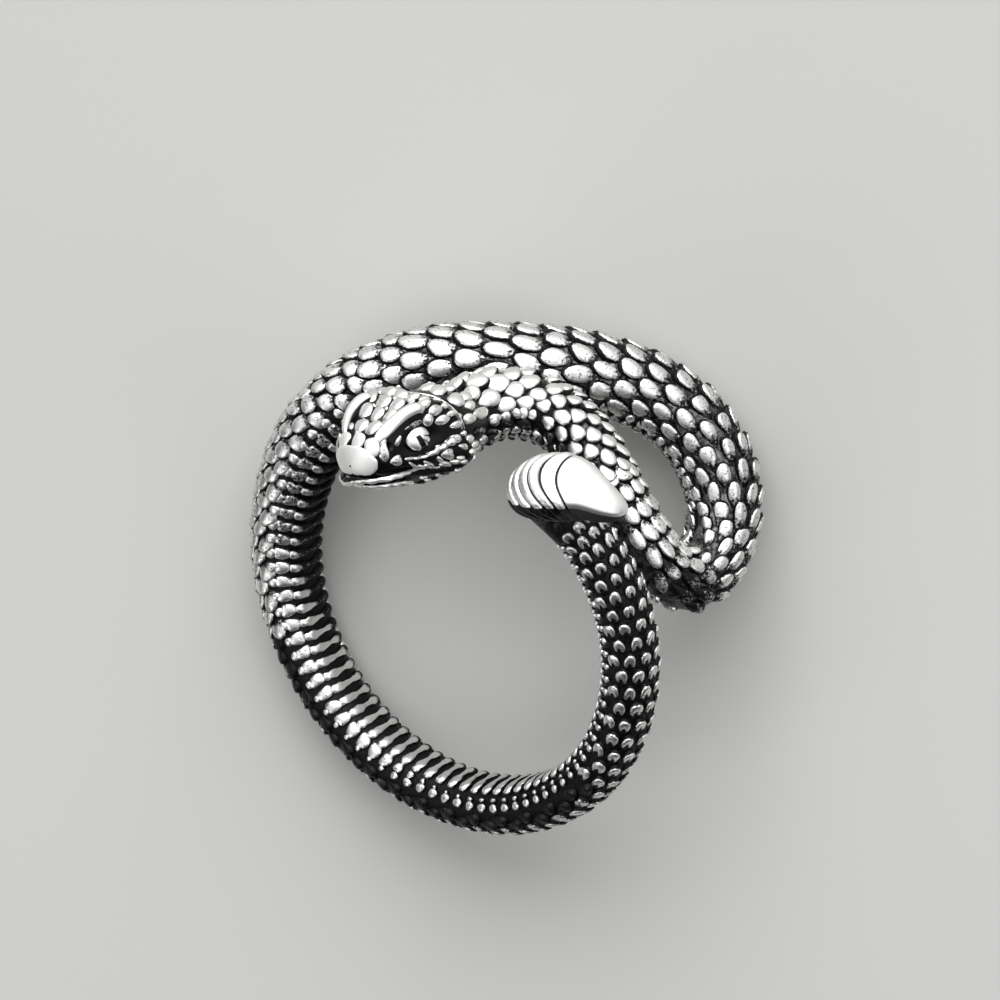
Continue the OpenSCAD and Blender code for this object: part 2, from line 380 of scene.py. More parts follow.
def layShields(pile, spots, style):
    # a spot is s, angle, half length, half width, turn and tone
    style = {**shield["usual"], **style}
    spots = np.array(spots, float)
    s0, a0, long, wide, turn, tone = [spots[:, n][:, None] for n in range(6)]
    rho, phi, drop, shine = shieldPlan()
    squareness = style["square"]
    c, d = np.cos(phi), np.sin(phi)
    corner = (np.abs(c) ** squareness + np.abs(d) ** squareness) ** (-1 / squareness)
    # no two castings are cut alike, so every outline wanders a little
    phase = rng.random((len(spots), 2)) * 2 * np.pi
    ragged = 1 + style["ragged"] * (np.cos(2 * phi + phase[:, :1]) + np.cos(3 * phi + phase[:, 1:]))
    # the black lip is painted shadow under the raised free edge, and shows only round that edge, which is
    # the end towards the tail
    free = 1 - ease(c, -0.2, 0.6)
    rho = np.where(rho > 1, 1 + (rho - 1) * free, rho)
    shine = 1 - (1 - shine) * free
    x = rho * c * corner * ragged
    y = rho * d * corner * ragged * (1 - style["taper"] * c)
    lift = style["base"] - style["tilt"] * x + style["dome"] * (1 - rho ** style["flat"]) - drop
    hollowAt, hollowLong, hollowWide = shield["hollow"]
    hollow = style["dimple"] * np.exp(-((x - hollowAt) / hollowLong) ** 2 - (y / hollowWide) ** 2)
    lift = lift - hollow
    # how far a step along or round the body really goes
    step = 0.05
    forwardStep = np.linalg.norm(skin(s0 + step, a0) - skin(s0 - step, a0), axis=-1) / (2 * step)
    aroundStep = np.linalg.norm(skin(s0, a0 + 1) - skin(s0, a0 - 1), axis=-1) / 2
    t = np.radians(turn)
    ahead = x * long * np.cos(t) - y * wide * np.sin(t)
    aside = x * long * np.sin(t) + y * wide * np.cos(t)
    points = skin(s0 + ahead / forwardStep, a0 + aside / aroundStep, lift)
    # each scale darkens towards its base, where it sinks under the next scale's tip: partly oxide in the
    # recess, partly painted shade
    oxideAndShaded = 1 - style["oxideAndShade"] * ease(x, style["oxideAndShadeFrom"], style["oxideAndShadeTo"])
    # painted shade on the body's sides and underside, growing with the angle away from the back
    under = 1 - style["under"] * ease(np.abs(a0 - 5), *style["underFrom"])
    polishAndLight = np.clip(oxideAndShaded - 9 * hollow, 0, 1) * shine * under * style["shine"]
    # painted shade under the turn of the loop: where, how far, how much, and the angles it fades over
    at, reach, amount, edge = style["shadeUnderLoop"]
    polishAndLight = polishAndLight * (1 - amount * bump(s0, at, reach) * (1 - ease(a0, *edge)))
    addShields(pile, points, polishAndLight, tone)


def makePiece(name, pile, material):
    points = np.concatenate(pile["points"])
    rowPoints = (points @ restTurn.T + restAt) * mm
    mesh = bpy.data.meshes.new(name)
    mesh.from_pydata(rowPoints.tolist(), [], pile["faces"])
    mesh.update()
    mesh.polygons.foreach_set("use_smooth", [True] * len(mesh.polygons))
    for label in ("polishAndLight", "tone"):
        values = np.concatenate(pile[label]).astype(float)
        mesh.attributes.new(label, "FLOAT", "POINT").data.foreach_set("value", values)
    mesh.materials.append(material)
    piece = bpy.data.objects.new(name, mesh)
    scene.collection.objects.link(piece)
    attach(piece, "root")
    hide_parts("snake_ring")
    print(name, len(mesh.polygons), "faces")


# Finishes
def put(tree, kind, spot, **settings):
    node = tree.nodes.new("ShaderNode" + kind)
    node.location = spot
    for key, value in settings.items():
        setattr(node, key, value)
    return node


def feed(tree, value, socket):
    if isinstance(value, (int, float, tuple)):
        socket.default_value = value
    else:
        tree.links.new(value, socket)


def maths(tree, operation, spot, first, second, clamp=False):
    node = put(tree, "Math", spot, operation=operation, use_clamp=clamp)
    feed(tree, first, node.inputs[0])
    feed(tree, second, node.inputs[1])
    return node.outputs[0]


def blend(tree, spot, amount, first, second):
    node = put(tree, "Mix", spot, data_type="RGBA")
    for label, value in {"Factor": amount, "A": first, "B": second}.items():
        feed(tree, value, node.inputs[label])
    return node.outputs["Result"]


def startGroup(name, inputs, outputs):
    group = bpy.data.node_groups.new(name, "ShaderNodeTree")
    for label, value in inputs.items():
        socket = group.interface.new_socket(name=label, in_out="INPUT", socket_type="NodeSocketFloat")
        socket.default_value = value
    for label in outputs:
        group.interface.new_socket(name=label, in_out="OUTPUT", socket_type="NodeSocketFloat")
    given = group.nodes.new("NodeGroupInput")
    given.location = (-900, 200)
    result = group.nodes.new("NodeGroupOutput")
    result.location = (500, 0)
    return group, given.outputs, result.inputs


def addNoise(group, spot, scale, detail, roughness):
    into = put(group, "TexCoord", (spot[0] - 250, spot[1]))
    noise = put(group, "TexNoise", spot, noise_dimensions="3D")
    group.links.new(into.outputs["Object"], noise.inputs["Vector"])
    for label, value in {"Scale": scale, "Detail": detail, "Roughness": roughness}.items():
        feed(group, value, noise.inputs[label])
    return noise.outputs["Fac"]


wear = {"blackBelow": 0.32, "detail": 5, "roughness": 0.65}
pits = {
    "level": 0.72, "edge": 9.0, "detail": 3, "roughness": 0.6, "grain": (2400, 4, 0.5), "grainHigh": 0.6,
}


def makeWornGroup():
    # crests are rubbed bright, hollows keep their black; the painted light and shade carried in with the
    # polish pass through here too
    inputs = {"Polish And Light": 0.5, "Break Size": 3000.0, "Break Up": 0.4, "Softness": 0.3}
    group, given, result = startGroup("rubbedCrests", inputs, ("Bright",))
    noise = addNoise(group, (-650, -200), given["Break Size"], wear["detail"], wear["roughness"])
    centred = maths(group, "SUBTRACT", (-450, -200), noise, 0.5)
    broken = maths(group, "MULTIPLY", (-280, -200), centred, given["Break Up"])
    mixed = maths(group, "ADD", (-100, 0), given["Polish And Light"], broken)
    low = maths(group, "SUBTRACT", (50, -120), mixed, wear["blackBelow"])
    bright = maths(group, "DIVIDE", (250, 0), low, given["Softness"], clamp=True)
    group.links.new(bright, result["Bright"])
    return group


def makePitGroup():
    # fine pits and skin left by the casting
    inputs = {"Pit Size": 9000.0, "Pit Share": 0.3}
    group, given, result = startGroup("castingSkin", inputs, ("Pits", "Height"))
    noise = addNoise(group, (-650, 100), given["Pit Size"], pits["detail"], pits["roughness"])
    level = maths(group, "SUBTRACT", (-450, 250), pits["level"], given["Pit Share"])
    over = maths(group, "SUBTRACT", (-280, 100), noise, level)
    hole = maths(group, "MULTIPLY", (-100, 100), over, pits["edge"], clamp=True)
    grain = addNoise(group, (-650, -250), *pits["grain"])
    wave = maths(group, "MULTIPLY", (-280, -250), grain, pits["grainHigh"])
    height = maths(group, "SUBTRACT", (100, -100), wave, hole)
    group.links.new(hole, result["Pits"])
    group.links.new(height, result["Height"])
    return group


wornGroup = makeWornGroup()
pitGroup = makePitGroup()
silverWhite = (0.86, 0.85, 0.83, 1)
silverGrey = (0.62, 0.61, 0.6, 1)
oxideBlack = (0.018, 0.017, 0.018, 1)


def makeFinish(name, look):
    material = bpy.data.materials.new(name)
    material.use_nodes = True
    tree = material.node_tree
    tree.nodes.clear()
    out = put(tree, "OutputMaterial", (900, 0))
    metal = put(tree, "BsdfPrincipled", (600, 0))
    metal.inputs["Metallic"].default_value = 1.0
    tree.links.new(metal.outputs[0], out.inputs[0])
    polishAndLight = put(tree, "Attribute", (-900, 300), attribute_name="polishAndLight")
    tone = put(tree, "Attribute", (-900, 50), attribute_name="tone")
    worn = put(tree, "Group", (-600, 300), node_tree=wornGroup)
    for label, key in {"Break Size": "breakSize", "Break Up": "breakUp", "Softness": "softness"}.items():
        worn.inputs[label].default_value = look[key]
    tree.links.new(polishAndLight.outputs["Fac"], worn.inputs["Polish And Light"])
    cast = put(tree, "Group", (-600, -100), node_tree=pitGroup)
    cast.inputs["Pit Size"].default_value = look["pitSize"]
    cast.inputs["Pit Share"].default_value = look["pitShare"]
    darkPits = maths(tree, "MULTIPLY", (-350, -50), cast.outputs["Pits"], look["pitDark"])
    clear = maths(tree, "SUBTRACT", (-180, -50), 1.0, darkPits)
    bright = maths(tree, "MULTIPLY", (0, 200), worn.outputs["Bright"], clear)
    silver = blend(tree, (0, 450), tone.outputs["Fac"], silverGrey, silverWhite)
    colour = blend(tree, (250, 300), bright, oxideBlack, silver)
    tree.links.new(colour, metal.inputs["Base Color"])
    rough = put(tree, "MapRange", (250, 0))
    rough.inputs["To Min"].default_value = look["roughDark"]
    rough.inputs["To Max"].default_value = look["roughBright"]
    tree.links.new(bright, rough.inputs["Value"])
    tree.links.new(rough.outputs["Result"], metal.inputs["Roughness"])
    dent = put(tree, "Bump", (350, -300))
    dent.inputs["Strength"].default_value = look["bump"]
    dent.inputs["Distance"].default_value = 0.00003
    tree.links.new(cast.outputs["Height"], dent.inputs["Height"])
    tree.links.new(dent.outputs["Normal"], metal.inputs["Normal"])
    return material


looks = {
    "scale": {"breakSize": 6500, "breakUp": 1.5, "softness": 0.3, "pitSize": 7000, "pitShare": 0.17,
              "pitDark": 0.75, "roughDark": 0.5, "roughBright": 0.35, "bump": 0.3},
    "smooth": {"breakSize": 1500, "breakUp": 0.15, "softness": 0.3, "pitSize": 6000, "pitShare": 0.08,
               "pitDark": 0.4, "roughDark": 0.4, "roughBright": 0.26, "bump": 0.12},
    "groove": {"breakSize": 2200, "breakUp": 0.5, "softness": 0.5, "pitSize": 5000, "pitShare": 0.2,
               "pitDark": 0.8, "roughDark": 0.48, "roughBright": 0.35, "bump": 0.6},
}
scaleSilver = makeFinish("scaleSilver", looks["scale"])
rubbedSilver = makeFinish("rubbedSilver", looks["smooth"])
satinSilver = makeFinish("satinSilver", {**looks["smooth"], "roughBright": 0.4})
dullSilver = makeFinish("dullSilver", {**looks["smooth"], "roughBright": 0.58})
barSilver = makeFinish("barSilver", {**looks["scale"], "breakUp": 0.8, "pitShare": 0.1})
blackGround = makeFinish("blackGround", looks["groove"])
print("finishes mixed")

# The ground under the scales
core = {
    "from": 5.6,
    "sink": 0.2,
    "stemSink": 0.06,
    "stem": (8.5, 11),
    "loop": (58, 66, 98, 101),
    "shine": (0.1, 0.22, 0.26),
    "step": 0.22,
    "columns": 60,
}


def makeGround():
    s = np.arange(core["from"], headFrom + 1.0, core["step"])[:, None]
    angle = circle(core["columns"])
    tail = ease(s, *core["stem"])
    sink = core["stemSink"] + (core["sink"] - core["stemSink"]) * tail
    # the stem of the rattle and the loop saw a little of the buff
    black, stem, loop = core["shine"]
    first, full, last, gone = core["loop"]
    shine = black + stem * (1 - tail) + loop * ease(s, first, full) * (1 - ease(s, last, gone))
    pile = newPile()
    addSheet(pile, skin(s, angle, -sink), shine, caps=True)
    return pile


makePiece("ground", makeGround(), blackGround)

# Back scales: columns along the body, every other one half a pitch further on
scales = {
    # where along the body, pitch in a column, half length, half width, all mm
    "sizes": (
        (10, 1.55, 0.44, 0.3), (16, 1.62, 0.46, 0.31), (20, 1.9, 0.5, 0.33), (27, 1.7, 0.52, 0.36),
        (46, 1.55, 0.5, 0.4), (48, 1.6, 0.58, 0.44), (60.5, 1.6, 0.58, 0.46), (63, 2.2, 0.85, 0.44),
        (65.5, 2.48, 1.05, 0.46), (74, 2.48, 0.98, 0.43), (78, 2.4, 0.85, 0.38), (82, 2.1, 0.72, 0.34),
        (90, 2.1, 0.8, 0.33), (94, 1.9, 0.75, 0.36), (96.5, 1.15, 0.46, 0.38), (106, 1.1, 0.45, 0.38),
    ),
    "twist": (35, 80, 90),
}
sizeTable = np.array(scales["sizes"])


def scaleSpots(first, last, columns, columnStep, twist=None):
    spots, s = [], first
    while s < last:
        pitch, long, wide = [float(np.interp(s, sizeTable[:, 0], sizeTable[:, n])) for n in (1, 2, 3)]
        for j in range(-columns, columns + 1):
            here = s + (pitch / 2 if j % 2 else 0)
            angle = j * columnStep + (float(twist(here)) if twist else 0) + 1.5 * (rng.random() - 0.5)
            size = 1 + 0.14 * (rng.random() - 0.5)
            # where the body is bent hard its inner side has no room for whole scales
            room = np.linalg.norm(skin(here + 0.1, angle) - skin(here - 0.1, angle)) / 0.2
            if room < 0.5:
                continue
            size = size * min(1, room + 0.15)
            spots.append((here, angle, long * size, wide * size, 0, 0.5 + 0.5 * rng.random()))
        s += pitch
    return spots


def loopTwist(s):
    amount, start, end = scales["twist"]
    return amount * ease(s, start, end)


tailStyle = {"base": -0.06, "tilt": 0.12, "dome": 0.07, "dimple": 0.09, "taper": 0.2, "oxideAndShade": 0.9,
             "oxideAndShadeTo": 0.8}
# the low band's scales take heavy painted shade over their sides and underside
lowStyle = {**tailStyle, "dimple": 0.03, "under": 0.85, "underFrom": (25, 60)}
bandStyle = {
    "base": -0.04, "tilt": 0.17, "dome": 0.09, "taper": 0.3, "ragged": 0.08,
    "oxideAndShade": 0.75, "oxideAndShadeFrom": -0.4, "oxideAndShadeTo": 0.6,
}
# back scales: painted shade on their sides, and more under the turn of the loop
backStyle = {
    "base": -0.03, "tilt": 0.2, "dome": 0.09, "taper": 0.42, "ragged": 0.07,
    "oxideAndShade": 0.72, "oxideAndShadeFrom": -0.5, "oxideAndShadeTo": 0.45, "under": 0.3, "shadeUnderLoop": (89.9, 3.4, 0.68, (-5, 25)),
}
neckStyle = {
    "base": 0.05, "tilt": 0.17, "dome": 0.1, "flat": 2.6, "taper": 0.12, "ragged": 0.06,
    "oxideAndShade": 0.5, "oxideAndShadeFrom": 0.1, "oxideAndShadeTo": 1, "under": 0.7,
}
tailPile, bandPile, backPile, neckPile = newPile(), newPile(), newPile(), newPile()
layShields(tailPile, scaleSpots(9.35, 24, 5, 17.5), tailStyle)
layShields(bandPile, scaleSpots(24.4, 46.5, 5, 15.5), lowStyle)
layShields(bandPile, scaleSpots(47.3, 61, 6, 15.5), bandStyle)
layShields(backPile, scaleSpots(61.7, 96, 6, 15.5, loopTwist), backStyle)

# the neck bends up to the head, so its last scales each have their own place: s, angle, half sizes
collar = {
    "near": (
        (107.36, -7, 0.48, 0.42), (105.08, 25, 0.5, 0.46), (107.16, -33, 0.55, 0.44),
        (104.96, -10, 0.5, 0.42), (104, 14, 0.55, 0.46), (103.12, -3, 0.5, 0.46),
        (104.2, -31, 0.56, 0.45), (103.2, -50, 0.4, 0.34), (102.48, -21, 0.42, 0.44),
        (101.72, 0, 0.48, 0.42), (101.96, -46, 0.36, 0.34), (105.76, -53, 0.7, 0.3),
        (107.04, -62, 0.45, 0.26), (104.56, -67, 0.36, 0.24), (102.6, -66, 0.24, 0.22),
        (101.5, -65, 0.26, 0.22), (104.24, 36, 0.42, 0.45), (103.12, 32, 0.44, 0.48),
        (102.32, 18, 0.43, 0.44), (101.72, 34, 0.42, 0.46), (101.3, -26, 0.38, 0.36),
        (106.3, -80, 0.5, 0.18), (107.2, 18, 0.5, 0.44), (106.1, 8, 0.4, 0.4), (100.6, -1, 0.4, 0.36),
        (100.9, -43, 0.34, 0.3), (102.1, -66, 0.26, 0.24), (106.5, -42, 0.42, 0.24),
        (104.75, -72, 0.3, 0.22), (103.5, -71, 0.28, 0.22), (106, -22, 0.4, 0.34),
        (103.4, -84, 0.34, 0.24), (101.9, -86, 0.34, 0.26), (105, -90, 0.34, 0.24),
    ),
    "far": (
        (100.7, 44, 0.4, 0.36), (106.6, 44, 0.5, 0.44), (107.05, 66, 0.5, 0.4), (105.6, 60, 0.5, 0.4),
        (106.3, 84, 0.5, 0.4), (104.6, 70, 0.5, 0.42), (103.4, 52, 0.5, 0.44), (102.9, 78, 0.46, 0.4),
        (101.9, 58, 0.46, 0.42), (101.4, 84, 0.44, 0.4), (103.8, 98, 0.44, 0.36),
        (102.2, 102, 0.44, 0.36), (105.2, 96, 0.44, 0.36),
    ),
    "turn": 12,
}
neckSpots = scaleSpots(96.2, 100.6, 5, 22)
for s, angle, long, wide in collar["near"] + collar["far"]:
    turn = collar["turn"] * float(ease(s, 101.5, 104)) * np.sign(angle)
    size = 1.18 - 0.22 * float(ease(s, 103.6, 105))
    neckSpots.append((s + 0.04, angle, long * size, wide * size, turn, 0.6 + 0.4 * rng.random()))
layShields(neckPile, neckSpots, neckStyle)
makePiece("tailScales", tailPile, scaleSilver)
makePiece("bandScales", bandPile, scaleSilver)
makePiece("backScales", backPile, scaleSilver)
makePiece("neckScales", neckPile, barSilver)

# Belly scutes: narrow bars across the finger side, with two rows of studs at each end
belly = {
    "from": 9.6,
    "to": headFrom + 3.6,
    "pitch": ((9, 0.7), (28, 0.78), (36, 0.85), (110, 0.87)),
    "halfBar": 0.31,
    "reach": 45,
    "bow": 0.1,
    "foot": -0.3,
    # across a bar: how far from its middle, how high, how bright
    "section": (
        (-1, -0.3, 0), (-0.96, -0.06, 0.15), (-0.8, 0.03, 0.8), (-0.5, 0.08, 1), (-0.2, 0.1, 1),
        (0.1, 0.095, 1), (0.4, 0.07, 0.9), (0.7, 0.02, 0.5), (0.92, -0.08, 0.05), (1, -0.3, 0),
    ),
    "stations": 41,
    # s, then place and half sizes of the block and of the dot past it
    "studs": (
        (24, 58, 0.12, 0.12, 72, 0.18, 0.2), (30.5, 57, 0.14, 0.12, 74, 0.25, 0.25),
        (32.4, 57, 0.13, 0.11, 71, 0.26, 0.26), (34, 55, 0.08, 0.07, 67, 0.27, 0.27),
        (35.5, 53, 0.16, 0.15, 67.5, 0.27, 0.26), (36.4, 54, 0.22, 0.2, 71, 0.26, 0.24),
        (37.3, 55, 0.29, 0.27, 73.5, 0.23, 0.2), (38.2, 58, 0.32, 0.44, 77, 0.14, 0.12),
        (41, 58, 0.32, 0.48, 77, 0.16, 0.16), (46, 57.5, 0.31, 0.48, 75, 0.24, 0.24),
        (53, 57, 0.3, 0.46, 77, 0.3, 0.34), (60, 57, 0.3, 0.42, 77, 0.28, 0.3),
        (110, 58, 0.26, 0.34, 76, 0.22, 0.22),
    ),
    "shadedFrom": 52,
}
studStyle = {
    "base": -0.03, "tilt": 0.03, "dome": 0.07, "taper": 0, "oxideAndShade": 0.1, "square": 2.8, "ragged": 0.1,
}
# painted shade: the blocks from 52 mm on are dimmer
shadedStudStyle = {**studStyle, "shine": 0.48}
dotStyle = {**studStyle, "square": 2, "ragged": 0.06}


def scutePlaces():
    pitch = np.array(belly["pitch"])
    places = [belly["from"]]
    while places[-1] < belly["to"]:
        places.append(places[-1] + float(np.interp(places[-1], pitch[:, 0], pitch[:, 1])))
    return places


def addBar(pile, s):
    x, high, shine = np.array(belly["section"]).T[:, :, None]
    y = np.sin(np.radians(np.linspace(-90, 90, belly["stations"])))[None, :]
    reach = belly["reach"] - 10 * float(ease(s, headFrom - 2, headFrom + 3))
    out = np.abs(y)
    taper = (1 - out ** 8) ** 0.5
    # slim across the finger, stout towards the ends, and never quite straight
    slim = 0.5 + 0.5 * ease(out, 0.02, 0.55)
    wander = 0.09 * np.sin(9 * y + 6 * rng.random()) + 0.07 * np.sin(17 * y + 6 * rng.random())
    ahead = x * belly["halfBar"] * (0.4 + 0.6 * taper) * slim * (1 + wander)
    high = belly["foot"] + (high - belly["foot"]) * (0.02 + 0.98 * taper) ** 0.5
    points = skin(s + ahead - belly["bow"] * (1 - y ** 2), 180 + reach * y, high)
    # painted light and shade: each bar is lit at its near end and falls dark towards the far end, the bars
    # under the head are darker still, and there their far ends get a painted glint
    shade = float(ease(s, 44, 52)) * (1 - float(ease(s, 62, 70)))
    past = reach * y
    paintedBarLight = 0.3 + 0.7 * (1 - ease(past, 14 - 58 * shade, 32 - 54 * shade))
    paintedBarLight = paintedBarLight + 0.25 * shade * ease(past, 34, 44)
    addStrip(pile, points, shine * taper ** 0.3 * paintedBarLight, 0.5 + 0.5 * rng.random())


bellyPile, studPile = newPile(), newPile()
studTable = np.array(belly["studs"])
blockSpots, shadedBlockSpots, dotSpots = [], [], []
for s in scutePlaces():
    addBar(bellyPile, s)
    if s > headFrom - 0.5:
        continue
    row = [float(np.interp(s, studTable[:, 0], studTable[:, n])) for n in range(1, 7)]
    for hand in (-1, 1):
        block = (s + 0.05, 180 + hand * row[0], row[1], row[2], 0, 0.5 + 0.5 * rng.random())
        (shadedBlockSpots if s > belly["shadedFrom"] else blockSpots).append(block)
        dotSpots.append((s + 0.03, 180 + hand * row[3], row[4], row[5], 0, 0.5 + 0.5 * rng.random()))
layShields(studPile, blockSpots, studStyle)
layShields(studPile, shadedBlockSpots, shadedStudStyle)
layShields(studPile, dotSpots, dotStyle)
makePiece("bellyScutes", bellyPile, barSilver)
makePiece("sideStuds", studPile, scaleSilver)

# Rattle: cups nested one behind the other and one big smooth drop, seen on a slant
rattle = {
    # s and half thickness
    "profile": (
        (0.4, 0.02), (0.43, 0.16), (0.5, 0.3), (0.62, 0.44), (0.8, 0.6), (1.04, 0.76), (1.5, 1.02),
        (1.9, 1.2), (2.4, 1.38), (2.9, 1.52), (3.5, 1.61), (4.4, 1.56), (5.2, 1.35), (6.0, 1.0), (6.9, 0.9),
    ),
    "rims": (2.84, 3.36, 3.79, 4.23, 4.7, 5.15, 5.6, 6.0),
    "slant": 0.8,
    "tilt": 0.35,
    "groove": (0.17, 0.055),
    "bead": (0.012, 0.14, 0.07),
    "bulge": 0.07,
    # the lower bevel: how far down it faces, and where it starts on the drop and on the cups
    "bevel": (66, 0.91, 1.11),
    # the drop's flat: where it faces, forward and up, and where it starts
    "flat": (0.9, 0.45, 0.45),
    "droop": 0.6,
    "axisRow": 40,
    "columns": 144,
    "step": 0.035,
}


def makeRattle():
    profile = np.array(rattle["profile"])
    s = np.concatenate([[0.4, 0.405, 0.415, 0.43, 0.46], np.arange(0.5, 6.9, rattle["step"])])[:, None]
    a = np.radians(circle(rattle["columns"]))
    radius = np.interp(s, profile[:, 0], profile[:, 1])
    centre, along, back, side = spineAt(s[:, 0])[:4]
    axis = along[rattle["axisRow"]]
    toward = np.array(cameraSpot["toCamera"])
    upward = np.cross(toward, np.array(cameraSpot["right"]))
    centre = centre - (rattle["droop"] * (1 - ease(s, 0.6, 3.0))) * upward
    ways = np.cos(a)[..., None] * back[:, None, :] + np.sin(a)[..., None] * side[:, None, :]
    front = ways @ toward
    down = -(ways @ upward)
    cut = s - rattle["slant"] * front + rattle["tilt"] * down
    rims = np.array(rattle["rims"])
    gap = np.min(np.abs(cut[..., None] - rims), -1)
    deep, wide = rattle["groove"]
    groove = np.exp(-(gap / wide) ** 2)
    beadHigh, beadAt, beadWide = rattle["bead"]
    bead = beadHigh * np.cos(36 * a) * np.exp(-((gap - beadAt) / beadWide) ** 2)
    cup = np.clip(np.searchsorted(rims, cut.reshape(-1)).reshape(cut.shape), 1, len(rims) - 1)
    part = np.clip((cut - rims[cup - 1]) / (rims[cup] - rims[cup - 1]), 0, 1)
    inCups = (cut > rims[0]) & (cut < rims[-1])
    rise = np.where(inCups, rattle["bulge"] * np.sin(np.pi * part) ** 0.6 + bead, 0) - deep * groove
    out = (radius + rise * np.minimum(radius, 1))[..., None] * ways
    # a bevel runs along the lower side
    turned, dropFrom, cupsFrom = rattle["bevel"]
    turned = math.radians(turned)
    facing = squareTo(math.cos(turned) * toward - math.sin(turned) * upward, axis)
    limit = (dropFrom + (cupsFrom - dropFrom) * ease(s, 3, 4.2)) * radius
    out = out - np.maximum(out @ facing - limit, 0)[..., None] * facing
    # the drop is hammered nearly flat on the side that shows
    ahead, above, flatFrom = rattle["flat"]
    facing = squareTo(ahead * toward + above * upward, axis)
    over = np.maximum(out @ facing - flatFrom * radius, 0) * (1 - ease(cut, 2.9, 3.9))
    out = out - (0.8 * over ** 2 / (over + 0.3))[..., None] * facing
    # painted shade on the rattle's lower side, as the camera sees it
    around = np.degrees(np.arctan2(down, front))
    paintedUnderShade = ease(around, 38, 44) * (1 - ease(around, 125, 160))
    shine = (1 - groove) * (1 - 0.97 * paintedUnderShade) * (1 - 0.75 * ease(cut, 5.9, 6.2))
    pile = newPile()
    addSheet(pile, centre[:, None, :] + out, np.clip(shine, 0, 1), 0.95, caps=True)
    return pile


makePiece("rattle", makeRattle(), satinSilver)

# Head: the modelled ground first, then the plates, ridges and eyes on it
headMesh = {"rows": 190, "columns": 168, "sink": 0.1}


def makeHeadGround():
    h = np.concatenate([np.linspace(0.03, 0.86, headMesh["rows"] - 40)[:-1],
                        0.86 + 0.15 * np.sin(np.linspace(0, math.pi / 2, 40))])
    h = h[:, None]
    angle = circle(headMesh["columns"])
    fold = headFold(angle)
    points = skin(headAt(h), angle, -headMesh["sink"])
    shine = 0.12 + 0.2 * bump(h, 0.505, 0.13) * bump(fold, 76, 21)
    shine = shine + 0.14 * bump(h, 0.66, 0.34) * (1 - ease(fold, 26, 36))
    shine = shine + 0.08 * ease(fold, 128, 150) * ease(h, 0.2, 0.5)
    shine = shine + 0.4 * bump(h, occiput(fold) + 0.018, 0.02) * (fold < 75)
    pile = newPile()
    addSheet(pile, points, shine, 0.5, caps=True)
    return pile


makePiece("headGround", makeHeadGround(), rubbedSilver)


def headSpot(h, side, long, wide, turn=0, tone=0.8):
    return (headAt(h), side, long, wide, turn, tone)


# crown scales sit where they sit, the other plates are the same on both sides
crown = {
    "scales": (
        (0.585, 40, 0.42, 0.34), (0.71, 29, 0.46, 0.4), (0.84, 10, 0.42, 0.36), (0.5, 44, 0.34, 0.32),
        (0.63, 12, 0.46, 0.42), (0.73, 1, 0.4, 0.34), (0.84, -17, 0.44, 0.38), (0.515, 26, 0.38, 0.4),
        (0.63, -13, 0.46, 0.4), (0.715, -20, 0.38, 0.3), (0.79, -27, 0.26, 0.2), (0.54, 2, 0.38, 0.42),
        (0.535, -17, 0.36, 0.32), (0.585, -26, 0.2, 0.14), (0.535, -35, 0.34, 0.28),
    ),
    "small": (
        (0.79, 17, 0.16, 0.14), (0.785, -8, 0.16, 0.13), (0.675, -4, 0.12, 0.12), (0.665, 23, 0.12, 0.12),
        (0.845, 33, 0.24, 0.2), (0.58, 26, 0.14, 0.13), (0.585, 1, 0.12, 0.13), (0.9, 6, 0.14, 0.12),
    ),
}
plates = {
    "temple": (
        (0.495, 46, 0.42, 0.26, 4), (0.47, 58, 0.4, 0.24, 0), (0.56, 53, 0.26, 0.3, 0),
        (0.385, 67, 0.42, 0.18, 4), (0.4, 54, 0.3, 0.14, -4), (0.42, 44, 0.22, 0.15, -8),
        (0.43, 34, 0.27, 0.17, -16), (0.495, 27, 0.27, 0.24, 0), (0.34, 57, 0.2, 0.14, 0),
        (0.33, 79, 0.26, 0.15, 0), (0.27, 88, 0.3, 0.2, 0), (0.21, 98, 0.34, 0.22, 0),
        (0.26, 104, 0.26, 0.18, 0), (0.16, 108, 0.36, 0.24, 0), (0.11, 96, 0.36, 0.24, 0),
        (0.2, 118, 0.3, 0.2, 0),
    ),
    "cheek": (
        (0.41, 84, 0.46, 0.2, -4), (0.34, 95, 0.26, 0.13, -6), (0.455, 101, 0.33, 0.25, 0),
        (0.36, 108, 0.24, 0.09, -4), (0.46, 114, 0.28, 0.12, -20), (0.51, 89.5, 0.28, 0.14, -10),
        (0.57, 93, 0.3, 0.12, -4), (0.65, 94, 0.2, 0.08, 0), (0.74, 91, 0.22, 0.06, 4),
        (0.83, 88, 0.28, 0.22, 10), (0.785, 60, 0.24, 0.12, 59), (0.89, 65, 0.45, 0.2, 65),
        (0.875, 50, 0.16, 0.12, 0), (0.585, 111, 0.38, 0.14, -46), (0.7, 107, 0.36, 0.09, -46),
        (0.51, 106, 0.26, 0.09, -46),
    ),
    "lid": ((0.655, 51, 0.55, 0.13),),
    "lips": (
        (0.6, 110, 0.26, 0.16), (0.465, 115, 0.32, 0.1), (0.66, 108, 0.14, 0.08), (0.4, 112, 0.26, 0.11),
        (0.33, 113, 0.24, 0.1), (0.53, 117, 0.2, 0.06),
        (0.595, 134, 0.22, 0.1), (0.445, 138, 0.26, 0.1), (0.315, 131, 0.22, 0.12),
        (0.37, 146, 0.24, 0.12), (0.52, 147, 0.24, 0.1), (0.66, 149, 0.24, 0.1),
    ),
    "chin": {"first": 0.88, "pitch": 0.09, "count": 8, "row": (162, 0.36, 0.26)},
    "templeGrown": 1.08,
    "cheekGrown": 1.15,
}
